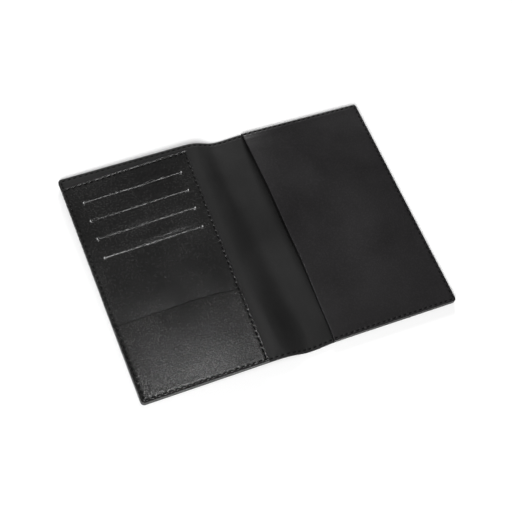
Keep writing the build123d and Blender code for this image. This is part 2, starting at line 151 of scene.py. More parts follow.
R_SLEEVE = R_MID + 18.3                # the sleeve's free edge


def eased(y, ys, vs):
    """A smooth curve through a few measured places."""
    fine = np.linspace(-80, 80, 641)
    v = np.interp(fine, ys, vs)
    k = np.hanning(37)
    pad = np.pad(v, 18, mode="edge")
    return np.interp(y, fine, np.convolve(pad, k / k.sum(), mode="valid"))


def sleeve_lift(y):
    """How far the slack edge of the sleeve stands off."""
    return eased(y, [-70, -55, -42, -32, -20, 0, 20, 40, 50, 58, 64, 70],
                 [0.05, 0.12, 0.35, 0.95, 1.75, 2.2, 2.3, 2.1, 1.8, 1.35, 0.7, 0.1])


def sleeve_edge(y):
    """How far the sleeve's free edge wanders from straight, in mm along x."""
    x = eased(y, [-70, -62, -50.8, -39.4, -28, -16.3, -4.2, 3.9, 16.2, 28.7, 41.5, 54.5, 70],
              [16.4, 17.2, 17.41, 17.87, 18.6, 19.08, 19.01, 19.05, 19.26, 19.47, 19.12, 18.76, 18.3])
    return x - 18.3 - 0.39 * sleeve_lift(y)


# every seam: kind, fixed coordinate, stitch centres
top_lining = spread(1.6 + 0.5, R_SLEEVE - 0.6)
top_sleeve = spread(R_SLEEVE + 0.5, R_END - 1.6 - 0.5)
bot_lower = spread(1.6 + 0.5, 71.8 - 0.2)
bot_lining = spread(72.6, R_SLEEVE - 2.0)
bot_sleeve = spread(R_SLEEVE - 1.0, R_END - 1.6 - 0.5)
left_low = spread(-SEAM_Y + 0.5, LOWER_Q - 1.2)
left_mid = spread(LOWER_Q - 0.2, 62.3)
left_top = spread(63.2, SEAM_Y - 0.5)
right_all = spread(-SEAM_Y + 0.5, SEAM_Y - 0.5)


def trough(along, across, centres, half=1.0):
    """1 in the bed of each stitch, falling to a low ridge between stitches."""
    step = centres[1] - centres[0]
    k = np.clip(np.round((along - centres[0]) / step), 0, len(centres) - 1)
    s = np.abs(along - (centres[0] + k * step))
    bed = 1 - smooth((s - (half - 0.30)) / 0.50)
    inside = (along > centres[0] - 2.2) & (along < centres[-1] + 2.2)
    return np.where(inside, np.exp(-((across / 0.42) ** 2)) * (0.04 + 0.96 * bed), 0)


def puff(across):
    """Leather that swells on both sides of a seam."""
    a = np.abs(across)
    return np.exp(-(((a - 1.25) / 0.6) ** 2))


def edge_drop(dist, rad):
    """How far a rounded edge falls below its face."""
    t = np.clip(rad - dist, 0, rad)
    return rad - np.sqrt(np.maximum(rad * rad - t * t, 0))


def noise2(x, y, scale, seed, octaves=3):
    """Smooth, repeatable value noise from -1 to 1."""
    out, amp, tot = 0.0, 1.0, 0.0
    for o in range(octaves):
        g = np.random.default_rng(seed + o).uniform(-1, 1, (97, 97))
        u, v = (x / scale + 41.3) % 96, (y / scale + 47.7) % 96
        i, j = np.floor(u).astype(int), np.floor(v).astype(int)
        fu, fv = smooth(u - i), smooth(v - j)
        a = g[i, j] * (1 - fu) + g[i + 1, j] * fu
        b = g[i, j + 1] * (1 - fu) + g[i + 1, j + 1] * fu
        out = out + amp * (a * (1 - fv) + b * fv)
        tot += amp
        amp *= 0.5
        scale *= 0.5
    return out / tot


def pebble(shape, seed, fine=0.0025, soft=0.0095):
    """Leather grain as real relief, one height per grid point, in mm."""
    g = np.random.default_rng(seed)
    a = g.normal(0, soft, (shape[0] + 2, shape[1] + 2))
    a = (a[:-2] + 2 * a[1:-1] + a[2:]) / 4
    a = (a[:, :-2] + 2 * a[:, 1:-1] + a[:, 2:]) / 4
    return a + g.normal(0, fine, shape)


# ------------------------------------------------------------------ meshes
def make_object(name, verts, faces, wear_and_painted_glint=None, angle=42):
    me = bpy.data.meshes.new(name)
    me.from_pydata(verts, [], faces)
    me.polygons.foreach_set("use_smooth", np.ones(len(me.polygons), bool))
    me.update()
    me.set_sharp_from_angle(angle=math.radians(angle))
    if wear_and_painted_glint is not None:
        at = me.attributes.new("wear_and_painted_glint", "FLOAT", "POINT")
        at.data.foreach_set("value", np.asarray(wear_and_painted_glint, np.float32))
    ob = bpy.data.objects.new(name, me)
    bpy.context.scene.collection.objects.link(ob)
    return ob


def slab(name, R, Y, fine, plain, up=True, step=7, wear_and_painted_glint=None):
    """A closed sheet over a grid of places: a detailed face and a plain one."""
    m, n = R.shape
    A = place(R, Y, fine).reshape(-1, 3)
    B = place(R, Y, plain)
    rows = sorted(set(list(range(0, m, step)) + [m - 1]))
    cols = sorted(set(list(range(0, n, step)) + [n - 1]))
    keep = np.zeros((m, n), bool)
    keep[np.ix_(rows, cols)] = True
    keep[0, :] = keep[-1, :] = keep[:, 0] = keep[:, -1] = True
    idx = -np.ones((m, n), int)
    idx[keep] = np.arange(keep.sum()) + m * n
    verts = np.concatenate([A, B[keep]])
    g = np.arange(m * n).reshape(m, n)
    faces = np.stack([g[:-1, :-1], g[:-1, 1:], g[1:, 1:], g[1:, :-1]], -1).reshape(-1, 4).tolist()
    for a in range(len(rows) - 1):
        i0, i1 = rows[a], rows[a + 1]
        for b in range(len(cols) - 1):
            j0, j1 = cols[b], cols[b + 1]
            lo = [idx[i0, j] for j in (range(j0, j1 + 1) if i0 == 0 else (j0, j1))]
            hi = [idx[i1, j] for j in (range(j0, j1 + 1) if i1 == m - 1 else (j0, j1))]
            le = [idx[i, j0] for i in range(i0 + 1, i1)] if j0 == 0 else []
            ri = [idx[i, j1] for i in range(i0 + 1, i1)] if j1 == n - 1 else []
            loop = lo + ri + hi[::-1] + le[::-1]
            faces.append(loop[::-1])
    ring = ([(0, j) for j in range(n - 1)] + [(i, n - 1) for i in range(m - 1)]
            + [(m - 1, j) for j in range(n - 1, 0, -1)] + [(i, 0) for i in range(m - 1, 0, -1)])
    for k, p in enumerate(ring):
        q = ring[(k + 1) % len(ring)]
        faces.append([idx[p], idx[q], g[q], g[p]])
    faces = [[int(v) for v in f] for f in faces]
    if not up:
        faces = [f[::-1] for f in faces]
    w = None
    if wear_and_painted_glint is not None:
        w = np.concatenate([np.asarray(wear_and_painted_glint, float).reshape(-1), np.full(int(keep.sum()), 0.03)])
    return make_object(name, verts.tolist(), faces, w)


def lines(lo, hi, cell, ends=(True, True), extra=()):
    """Grid lines from lo to hi, closer at the rounded edges and at extra places."""
    off = [0.0, 0.05, 0.14, 0.28, 0.48, 0.75]
    n = max(2, int(round((hi - lo - 2) / cell)))
    v = list(np.linspace(lo + 1.0, hi - 1.0, n))
    v += [lo + o for o in off] if ends[0] else [lo, lo + 0.5]
    v += [hi - o for o in off] if ends[1] else [hi, hi - 0.5]
    v = sorted(v)
    if len(extra):
        extra = sorted(e for e in extra if lo < e < hi)
        v = [a for a in v if min(abs(a - e) for e in extra) > 0.12 or a in (lo, hi)]
        v = sorted(v + list(extra))
    out = [v[0]]
    for a in v[1:]:
        if a - out[-1] > 0.03:
            out.append(a)
    out[-1] = hi
    return np.array(out)


CORNER = 2.2


def corner_start(y, lo, hi):
    """How far a row's end is pulled in by the rounded corners."""
    e = np.minimum(y - lo, hi - y)
    t = np.clip(CORNER - e, 0, CORNER)
    return CORNER - np.sqrt(np.maximum(CORNER ** 2 - t ** 2, 0))


def round_left(R, Y, r0=0.0, lo=-HALF_H, hi=HALF_H, both=True):
    s = corner_start(Y, lo, hi if both else 1e3)
    near = np.clip((r0 + 6.0 - R) / 6.0, 0, 1)
    return R + s * near


def round_right(R, Y):
    s = corner_start(Y, -HALF_H, HALF_H)
    near = np.clip((R - (R_END - 6.0)) / 6.0, 0, 1)
    return R - s * near


def outline_dist(R, Y, left=True):
    """Distance to the holder's outer edge, rounded corners included."""
    dx = R if left else R_END - R
    dy = HALF_H - np.abs(Y)
    inner = np.minimum(dx, dy)
    incorner = (dx < CORNER) & (dy < CORNER)
    c = CORNER - np.hypot(np.clip(CORNER - dx, 0, None), np.clip(CORNER - dy, 0, None))
    return np.maximum(np.where(incorner, c, inner), 0)


# ---- outer cover: two sheets that meet under the spine
def cover_half(name, left):
    bed = np.array([-0.85, -0.6, -0.4, -0.2, 0.0, 0.2, 0.4, 0.6, 0.85])
    if left:
        rl = lines(0, R_MID, 0.62, (True, False), extra=list(INSET + bed))
    else:
        rl = lines(R_MID, R_END, 0.62, (False, True), extra=list(R_END - INSET + bed))
    yl = lines(-HALF_H, HALF_H, 0.55, extra=list(SEAM_Y + bed) + list(-SEAM_Y + bed))
    R, Y = np.meshgrid(rl, yl)
    R = round_left(R, Y) if left else round_right(R, Y)
    dist = outline_dist(R, Y, left)
    seams = [(R, Y - SEAM_Y, np.concatenate([top_lining, top_sleeve])[:0])]
    d = edge_drop(dist, 0.42)
    t = np.zeros_like(R)
    for along, across, c in (
        (R, Y - SEAM_Y, OUT_TOP), (R, Y + SEAM_Y, OUT_BOT),
        (Y, (R - INSET) if left else (R_END - INSET - R), OUT_SIDE),
    ):
        t = np.maximum(t, trough(along, across, c))
        d = d - 0.0 * puff(across)
    d = d + 0.34 * t
    x = section(R)[0]
    # soft creases where the cover folds
    crease = np.exp(-(((x + 5) / 1.6) ** 2)) + np.exp(-(((x - 5) / 1.6) ** 2))
    d = d + 0.10 * crease * (0.6 + 0.4 * noise2(R, Y, 9, 3))
    top = D_COVER - edge_drop(dist, 0.25)
    wear_and_painted_glint = np.clip(np.exp(-dist / 0.5) + 0.5 * crease, 0, 1)
    return slab(name, R, Y, d, top, up=False, wear_and_painted_glint=wear_and_painted_glint)


OUT_TOP = spread(1.6 + 0.5, R_END - 1.6 - 0.5)
OUT_BOT = OUT_TOP
OUT_SIDE = spread(-SEAM_Y + 0.5, SEAM_Y - 0.5)

cover_left = cover_half("cover_left", True)
cover_right = cover_half("cover_right", False)


# ---- lining: two sheets that meet on the spine
def lining_half(name, left):
    if left:
        rl = lines(0, R_MID, 0.5, (True, False))
    else:
        rl = lines(R_MID, R_END, 0.5, (False, True))
    yl = lines(-HALF_H, HALF_H, 0.6)
    R, Y = np.meshgrid(rl, yl)
    R = round_left(R, Y) if left else round_right(R, Y)
    dist = outline_dist(R, Y, left)
    x = section(R)[0]
    open_ = smooth((x + 22) / 4) * (1 - smooth((x - 22) / 4)) + (Y > 60) * (x < -10)
    t = np.zeros_like(R)
    pf = np.zeros_like(R)
    for along, across, c in ((R, Y - SEAM_Y, top_lining), (R, Y + SEAM_Y, bot_lining)):
        t = np.maximum(t, trough(along, across, c))
        pf = np.maximum(pf, puff(across))
    if left:
        t = np.maximum(t, trough(Y, R - INSET, left_top))
    d = D_LINING - edge_drop(dist, 0.3) - 0.20 * t + 0.02 * pf * np.clip(open_, 0, 1)
    # the lining lies loosely over the spine
    loose = smooth((x + 19) / 5) * (1 - smooth((x - 19) / 5)) * smooth((dist - 2.0) / 6)
    d = d + loose * (0.10 * noise2(R * 1.0, Y * 0.22, 9.0, 21) + 0.06)
    d = d + 0.26 * smooth((x - 8) / 11) * (1 - smooth((x - 22) / 12)) * smooth((62 - np.abs(Y)) / 10)
    under = D_COVER + 0.02 + edge_drop(dist, 0.2)
    wear_and_painted_glint = np.clip(np.exp(-dist / 0.5), 0, 1)
    # tuck the sheet in a hair from the cover's edge
    return slab(name, np.clip(R, 0.12, R_END - 0.12), np.clip(Y, -HALF_H + 0.12, HALF_H - 0.12), d, under, wear_and_painted_glint=wear_and_painted_glint)


lining_left = lining_half("lining_left", True)
lining_right = lining_half("lining_right", False)


# ---- card panel, with its slots, hems and mouth
def slot_lines():
    out = []
    for s in SLOTS:
        for o in (0.07, 0.15, 0.24, 0.34, 0.46, 0.6, 0.78, 1.0, 1.3, 1.7):
            out += [s - o, s + o]
        out.append(s)
    return out


def panel_relief(P, Q, top_d, slots=True):
    R, Y = panel_r(P, Q), panel_y(P, Q)
    d = np.full_like(P, top_d)
    # the seam beside the spine
    inner = PANEL_W - 1.3 - P
    return R, Y, d, inner


inner_q_low = spread(-SEAM_Y + 0.5, LOWER_Q - 0.5)
inner_q_mid = spread(LOWER_Q + 0.5, PANEL_Q1 - 0.6)
hem_p = spread(2.6, PANEL_W - 2.2)
HEM_Q = PANEL_Q1 - 1.35

pl = lines(0, PANEL_W, 0.5, extra=[SLOT_P0 + o for o in (-0.7, -0.45, -0.25, -0.1, 0.05, 0.2, 0.4)]
           + [SLOT_P1 + o for o in (0.7, 0.45, 0.25, 0.1, -0.05, -0.2, -0.4)])
ql = lines(PANEL_Q0, PANEL_Q1, 0.5, extra=slot_lines())
P, Q = np.meshgrid(pl, ql)
Pc = P + corner_start(Q, PANEL_Q0, 1e3) * np.clip((6.0 - P) / 6.0, 0, 1)
R, Y = panel_r(Pc, Q), panel_y(Pc, Q)
rim = np.maximum(outline_dist(R, np.minimum(Y, 0), True), 0)
cut = np.maximum(np.minimum(PANEL_W - Pc, PANEL_Q1 - Q), 0)
dist = np.minimum(rim, cut)
d = D_TOP - np.maximum(edge_drop(rim, 0.45), edge_drop(cut, 0.18))
t = np.zeros_like(P)
pf = np.zeros_like(P)
for along, across, c in (
    (Y, R - INSET, left_mid), (Y, R - INSET, left_low),
    (Q, PANEL_W - 1.3 - Pc, inner_q_mid), (Q, PANEL_W - 1.3 - Pc, inner_q_low),
    (Pc, Q - HEM_Q, hem_p),
):
    t = np.maximum(t, trough(along, across, c))
for across in (R - INSET, PANEL_W - 1.3 - Pc, Q - HEM_Q, Y + SEAM_Y):
    pf = np.maximum(pf, puff(across))
d = d - 0.22 * t + 0.02 * pf
# hems show through as a low step, and the field is a little slack
field = smooth((Pc - 3.0) / 3.0) * smooth((PANEL_W - 3.0 - Pc) / 3.0) * smooth((Q + 67) / 3.0) * smooth((PANEL_Q1 - 3.0 - Q) / 3.0)
d = d - 0.06 * field + 0.025 * field * noise2(Pc, Q, 24.0, 5, 1) + 0.30 * field * np.sin(math.pi * Pc / PANEL_W) * np.exp(-(((Q + 5) / 26.0) ** 2))
wear_and_painted_glint = 0.05 * np.exp(-dist / 0.45)
slot_mask = smooth((Pc - SLOT_P0 + 0.25) / 0.5) * smooth((SLOT_P1 + 0.25 - Pc) / 0.5)
sag_phase = (0.3, 1.4, 2.2, 0.9)
for i, s in enumerate(SLOTS):
    wander = 0.10 * np.sin(Pc / 9.0 + sag_phase[i]) * smooth((Pc - SLOT_P0) / 6) * smooth((SLOT_P1 - Pc) / 6)
    c = Q - s - wander
    lip = 0.6 + 0.4 * noise2(Pc, Q * 0 + i * 13.0, 6.0, 31 + i)
    d = d - slot_mask * 0.50 * (1 - smooth((np.abs(c - 0.02) - 0.06) / 0.16))
    d = d + slot_mask * lip * (0.20 * np.exp(-(((c + 0.36) / 0.20) ** 2)) + 0.07 * np.exp(-(((c - 0.50) / 0.30) ** 2)))
    # the strip between two slots bellies out
    d = d + slot_mask * (0.12, 0.10, 0.12, 0.26)[i] * np.exp(-(((c - 3.4) / 2.4) ** 2)) * smooth((Pc - SLOT_P0) / (20 if i < 3 else 45)) * smooth((SLOT_P1 - Pc) / 12)
    # painted highlight: along each slot's lower lip the wear attribute runs far past real wear, dotted and stronger at
    # the slot's outer end, so the light worn colour paints the slits' glints
    glint = 0.42 + 0.95 * noise2(Pc * 1.0 + i * 31.0, Q * 0, 0.9, 61 + i, 1) + 0.30 * noise2(Pc, Q * 0, 11.0, 71 + i, 2)
    end_gain = 1 + (0.3, 0.2, 0.3, 0.9)[i] * np.exp(-np.clip(Pc - SLOT_P0, 0, None) / 8.0)
    wear_and_painted_glint = np.maximum(wear_and_painted_glint, (1.1, 0.9, 1.3, 1.9)[i] * end_gain * slot_mask * np.exp(-(((c + 0.26) / 0.17) ** 2)) * np.clip(glint, 0.10, 1))
    for pe in (SLOT_P0, SLOT_P1):
        rr = np.hypot(Pc - pe, c)
        d = d - 0.35 * (1 - smooth((rr - 0.25) / 0.35))
        d = d + 0.16 * np.exp(-(((rr - 0.95) / 0.35) ** 2))
# the open mouth at the top stands off a touch
mouth = np.exp(-np.clip(PANEL_Q1 - Q, 0, None) / 3.5) * np.sin(math.pi * np.clip(Pc / PANEL_W, 0, 1)) ** 0.7
d = d + 0.35 * mouth
hem = 1 - smooth((np.minimum(np.minimum(Pc, PANEL_W - Pc), Q - PANEL_Q0) - 3.0) / 0.8)
under = np.where(hem > 0.02, D_LINING + 0.03 + (1 - hem) * (D_PANEL - D_LINING), D_PANEL) + 0.35 * mouth * (1 - hem)
under = np.minimum(under, d - 0.35)
d = d + pebble(P.shape, 501) * smooth((Pc - 2.2) / 1.0)
under = under + edge_drop(dist, 0.2)
card_panel_skin = slab("card_panel_leather", np.maximum(R, 0.15), np.maximum(Y, -HALF_H + 0.15), d, under, wear_and_painted_glint=wear_and_painted_glint)

# ---- lower pocket
pl2 = lines(0, PANEL_W, 0.45)
ql2 = lines(PANEL_Q0, LOWER_Q, 0.45, extra=[LOWER_Q - 0.12, LOWER_Q - 0.30, LOWER_Q - 0.58])
MOUTH_SHADE_ROWS = int(np.sum(np.asarray(ql2) > LOWER_Q - 0.60)) - 1
P, Q = np.meshgrid(pl2, ql2)
Pc = P + corner_start(Q, PANEL_Q0, 1e3) * np.clip((6.0 - P) / 6.0, 0, 1)
R = panel_r(Pc, Q)
# the mouth bows and dips, and settles straight towards the foot
mouth_bow = 0.55 * np.sin(math.pi * np.clip((Pc - 4) / 58, 0, 1)) ** 1.5 - 1.3 * smooth((Pc - 60) / 11) + 0.35 * np.sin(Pc / 6.5) * 0.5
Y = panel_y(Pc, Q) + mouth_bow * smooth((Q + 50) / 25)
rim = np.maximum(outline_dist(R, np.minimum(Y, 0), True), 0)
cut = np.maximum(np.minimum(PANEL_W - Pc, LOWER_Q - Q), 0)
dist = np.minimum(rim, cut)
d = D_LOWTOP - np.maximum(edge_drop(rim, 0.4), edge_drop(cut, 0.12)) - 0.17 * smooth((Pc - 50) / 23.0)
t = np.zeros_like(P)
for along, across, c in (
    (Y, R - INSET, left_low), (Q, PANEL_W - 1.3 - Pc, inner_q_low), (R, Y + SEAM_Y, bot_lower),
):
    t = np.maximum(t, trough(along, across, c))
pf = np.zeros_like(P)
for across in (R - INSET, PANEL_W - 1.3 - Pc, Y + SEAM_Y):
    pf = np.maximum(pf, puff(across))
field = smooth((Pc - 3.0) / 3.0) * smooth((PANEL_W - 3.0 - Pc) / 3.0) * smooth((Q + 67) / 3.0)
d = d - 0.22 * t + 0.0 * pf - 0.02 * field + 0.015 * field * noise2(Pc, Q, 24.0, 9, 1)
lift = -0.75 * np.exp(-np.clip(LOWER_Q - Q, 0, None) / 9.0) * np.sin(math.pi * np.clip(Pc / PANEL_W, 0, 1)) ** 0.7
d = d + 0.10 * lift
under = np.minimum(np.where(Pc > 3.2, D_LOW - 0.02, D_TOP + 0.02) + 0.10 * lift, d - 0.3) + edge_drop(dist, 0.15)
d = d + pebble(P.shape, 502) * smooth((Pc - 2.2) / 1.0) * smooth((Q + 67.8) / 1.0)
wear_and_painted_glint = 0.02 * np.exp(-dist / 0.45)
lower_pocket_skin = slab("lower_pocket_leather", np.maximum(R, 0.2), np.maximum(Y, -HALF_H + 0.2), d, under, wear_and_painted_glint=np.clip(wear_and_painted_glint, 0, 1))

# ---- passport sleeve
sl = lines(0, R_END - R_SLEEVE, 0.55)
yl = lines(-HALF_H, HALF_H, 0.5)
S, Y = np.meshgrid(sl, yl)
wid = R_END - R_SLEEVE
R = R_SLEEVE + S + sleeve_edge(Y) * np.clip(1 - S / 20.0, 0, 1)
R = round_right(R, Y)
dist = np.minimum(outline_dist(R, Y, False), S)
d = D_TOP - edge_drop(dist, 0.35)
t = np.zeros_like(S)
pf = np.zeros_like(S)
for along, across, c in (
    (R, Y - SEAM_Y, top_sleeve), (R, Y + SEAM_Y, bot_sleeve), (Y, R_END - INSET - R, right_all),
):
    t = np.maximum(t, trough(along, across, c))
    pf = np.maximum(pf, puff(across))
field = smooth((HALF_H - 3.2 - np.abs(Y)) / 3.0) * smooth((R_END - R - 3.2) / 3.0)
d = d - 0.22 * t + 0.02 * pf - 0.05 * field + 0.03 * field * noise2(R, Y, 34.0, 15, 1)
lift = sleeve_lift(Y) * np.exp(-((S / 17.0) ** 1.3)) * smooth((HALF_H - 0.8 - np.abs(Y)) / 5.0)
d = d + lift
hem = 1 - smooth((np.minimum(HALF_H - np.abs(Y), R_END - R) - 3.0) / 0.8)
under = np.where(hem > 0.02, D_LINING + 0.03 + (1 - hem) * (D_PANEL - D_LINING), D_PANEL) + lift
under = np.minimum(under, d - 0.4) + edge_drop(dist, 0.15)
under = np.where(S < 0.01, np.maximum(under, d - 0.75), under)
wear_and_painted_glint = 0.5 * np.exp(-dist / 0.5)
sleeve_skin = slab("passport_sleeve_leather", np.minimum(R, R_END - 0.15), np.clip(Y, -HALF_H + 0.15, HALF_H - 0.15), d, under, wear_and_painted_glint=wear_and_painted_glint)


# ------------------------------------------------------------------ thread
def thread(name, stitches, rad=0.29, sunk=0.40, proud=0.04, turns=2.2, slant=7.0, length=STITCH_L):
    """Twisted two-ply stitches; each is (r, y, angle, surface height, side)."""
    nl, nt = 15, 10
    s = np.linspace(-1, 1, nl)
    th = np.linspace(0, 2 * math.pi, nt, endpoint=False)
    S, T = np.meshgrid(s, th, indexing="ij")
    end = 1 - smooth((1 - np.abs(S)) / 0.35)
    body = rad * (1 - 0.25 * end) * (1 + 0.16 * np.cos(2 * (T - turns * math.pi * S)))
    lift = proud - (sunk + proud) * end ** 1.4
    ax = S * length / 2 * (1 - 0.04 * end)
    ac = body * 1.12 * np.cos(T)
    up = lift + body * 0.86 * np.sin(T) - rad * 0.55
    rings = np.arange(nl * nt).reshape(nl, nt)
    quads = np.stack([rings[:-1], rings[1:], np.roll(rings[1:], -1, 1), np.roll(rings[:-1], -1, 1)], -1).reshape(-1, 4)
    verts, faces = [], []
    for k, (r, y, ang, dd, side) in enumerate(stitches):
        a = math.radians(ang + slant * (1 if side > 0 else -1) + rng.uniform(-2.5, 2.5))
        sc = 1 + rng.uniform(-0.04, 0.04)
        u = ax * sc * math.cos(a) - ac * math.sin(a)
        v = ax * sc * math.sin(a) + ac * math.cos(a)
        w = up + rng.uniform(-0.02, 0.02)
        # lay it on the leather at its own height
        hgt = dd + w if side > 0 else dd - w
        pts = place(r + u, y + v, hgt).reshape(-1, 3)
        base = len(verts)
        verts.extend(pts.tolist())
        q = (quads if side > 0 else quads[:, ::-1]) + base
        faces.extend(q.tolist())
        faces.append([base + int(i) for i in (rings[0] if side < 0 else rings[0])][::(-1 if side < 0 else 1)])
        faces.append([base + int(i) for i in rings[-1]][::(1 if side < 0 else -1)])
    return make_object(name, verts, faces, None, 60)


def row(kind, fixed, centres, d, side=1):
    if kind == "x":
        return [(c, fixed, 0.0, d, side) for c in centres]
    return [(fixed, c, 90.0, d, side) for c in centres]


inside = (row("x", SEAM_Y, top_lining, D_LINING) + row("x", SEAM_Y, top_sleeve, D_TOP)
          + row("x", -SEAM_Y, bot_lower, D_LOWTOP) + row("x", -SEAM_Y, bot_lining, D_LINING)
          + row("x", -SEAM_Y, bot_sleeve, D_TOP)
          + row("y", INSET, left_low, D_LOWTOP) + row("y", INSET, left_mid, D_TOP)
          + row("y", INSET, left_top, D_LINING) + row("y", R_END - INSET, right_all, D_TOP))
outside = (row("x", SEAM_Y, OUT_TOP, 0.13, -1) + row("x", -SEAM_Y, OUT_BOT, 0.13, -1)
           + row("y", INSET, OUT_SIDE, 0.13, -1) + row("y", R_END - INSET, OUT_SIDE, 0.13, -1))
seam_inside_left = thread("seam_inside_left", [s for s in inside if s[0] < R_MID])
seam_inside_right = thread("seam_inside_right", [s for s in inside if s[0] >= R_MID])
seam_outside_left = thread("seam_outside_left", [s for s in outside if s[0] < R_MID], proud=0.0)
seam_outside_right = thread("seam_outside_right", [s for s in outside if s[0] >= R_MID], proud=0.0)

own = []
for c in inner_q_low:
    p = PANEL_W - 1.3
    own.append((panel_r(p, c), panel_y(p, c), 88.0, D_LOWTOP, 1))
for c in inner_q_mid:
    p = PANEL_W - 1.3
    own.append((panel_r(p, c), panel_y(p, c), 88.0, D_TOP, 1))
for c in hem_p:
    own.append((panel_r(c, HEM_Q), panel_y(c, HEM_Q), 2.0, D_TOP + 0.25, 1))
card_panel_seams = thread("card_panel_seams", own)

# ---- a little wound knot of thread at each end of each slot
kv, kf = [], []
for s in SLOTS:
    for pe in (SLOT_P0 - 0.15, SLOT_P1 + 0.15):
        for w in range(2):
            nl, nt = 11, 8
            S, T = np.meshgrid(np.linspace(-1, 1, nl), np.linspace(0, 2 * math.pi, nt, endpoint=False), indexing="ij")
            endf = 1 - smooth((1 - np.abs(S)) / 0.5)
            a = 0.17 * (1 - 0.4 * endf)
            off = (w - 0.5) * 0.30
            u = off + a * np.cos(T)
            v = S * 0.42 - 0.30
            hgt = D_TOP + 0.10 + 0.03 + 0.26 * (1 - endf ** 1.5) - 0.42 * endf + a * np.sin(T) - 0.12
            pts = place(panel_r(pe + u, s), panel_y(pe, s + v), hgt).reshape(-1, 3)
            rings = np.arange(nl * nt).reshape(nl, nt)
            q = np.stack([rings[:-1], np.roll(rings[:-1], -1, 1), np.roll(rings[1:], -1, 1), rings[1:]], -1).reshape(-1, 4)
            base = len(kv)
            kv.extend(pts.tolist())
            kf.extend((q + base).tolist())
            kf.append([base + int(i) for i in rings[0]][::-1])
            kf.append([base + int(i) for i in rings[-1]])
slot_knots = make_object("slot_end_knots", kv, kf, None, 60)


# ------------------------------------------------------------------ hidden pieces
def plain_sheet(name, r0, r1, y0, y1, d0, d1, cell=3.0, flap=None):
    R, Y = np.meshgrid(np.linspace(r0, r1, max(3, int((r1 - r0) / cell))), np.linspace(y0, y1, max(3, int((y1 - y0) / cell))))
    top = np.full_like(R, d1)
    if flap is not None:
        top = top + flap * (Y > y1 - 1.3)
    return slab(name, R, Y, top, np.full_like(R, d0), step=3)


board_front = plain_sheet("stiffener_board_front", 5.2, 74.0, -63.8, 63.8, 0.52, 0.88)
board_back = plain_sheet("stiffener_board_back", R_END - HALF_W + 12.2, R_END - 5.2, -63.8, 63.8, 0.52, 0.88)
liners = []
for k, s in enumerate(SLOTS):
    lv = D_LINING + 0.03 + 0.145 * k
    liners.append(plain_sheet(f"card_liner_cloth_{k + 1}", 3.9, 69.6, s - 78.0, s + 1.9, lv, lv + 0.09))

# ------------------------------------------------------------------ materials
def new_material(name):
    m = bpy.data.materials.new(name)
    m.use_nodes = True
    nt = m.node_tree
    nt.nodes.clear()
    out = nt.nodes.new("ShaderNodeOutputMaterial")
    b = nt.nodes.new("ShaderNodeBsdfPrincipled")
    nt.links.new(b.outputs[0], out.inputs[0])
    return m, nt, b


def ramp(nt, src, stops):
    r = nt.nodes.new("ShaderNodeValToRGB")
    el = r.color_ramp.elements
    el[0].position, el[0].color = stops[0][0], (*stops[0][1], 1)
    el[1].position, el[1].color = stops[-1][0], (*stops[-1][1], 1)
    for pos, col in stops[1:-1]:
        e = el.new(pos)
        e.color = (*col, 1)
    nt.links.new(src, r.inputs[0])
    return r.outputs[0]


